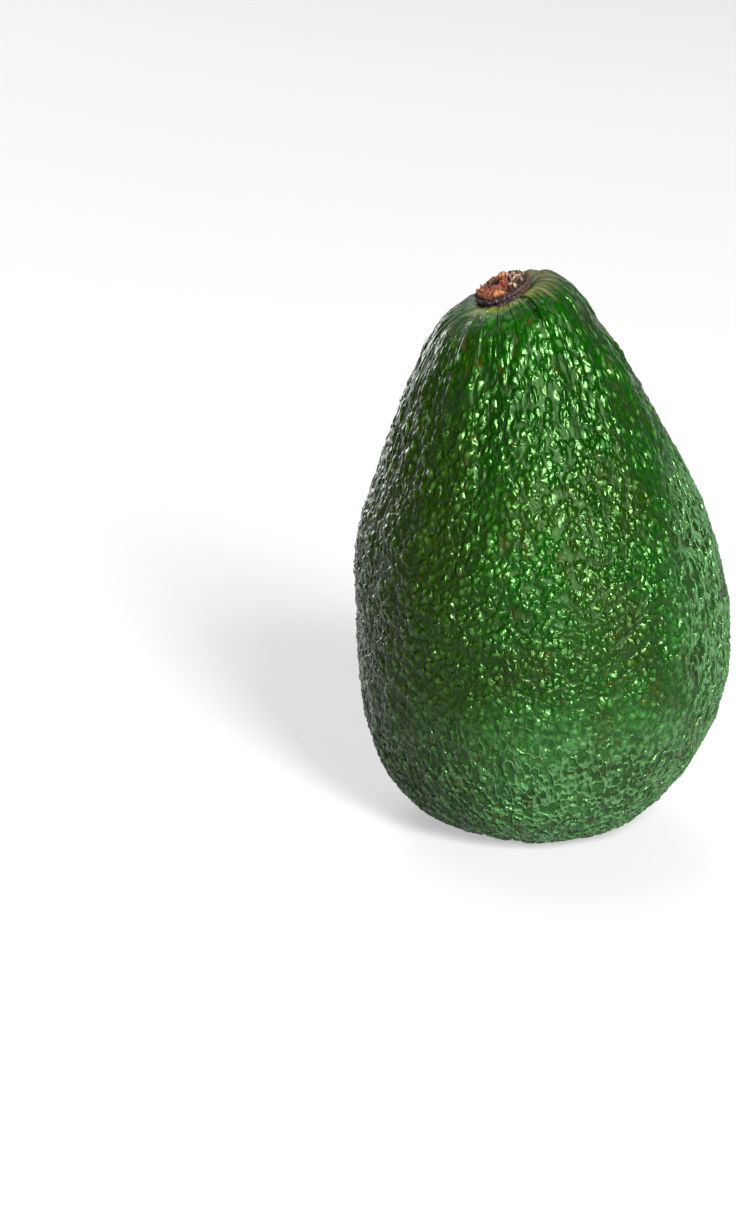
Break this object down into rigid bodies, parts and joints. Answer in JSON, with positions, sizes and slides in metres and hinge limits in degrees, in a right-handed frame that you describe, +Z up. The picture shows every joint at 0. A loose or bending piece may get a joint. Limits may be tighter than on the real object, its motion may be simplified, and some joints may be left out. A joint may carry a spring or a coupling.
{
  "type": "avocado",
  "caption": "Whole ripe-green avocado, pear-shaped with pebbled glossy peel and a woody stem stub, standing on a small flat spot.",
  "frame": {"origin": "centre of the flat spot at the blossom end that the fruit rests on", "axes": "+Z up from the flat spot to the stem end, +X towards the fuller side of the belly; the stem end leans towards -X and a little towards -Y"},
  "size_m": [0.0669, 0.0666, 0.1013],
  "materials": {
    "peel": "satin",
    "stem_bark": "matte"
  },
  "bodies": {
    "root": {"fruit": "peel", "stem_stub": "stem_bark"}
  },
  "joints": []
}
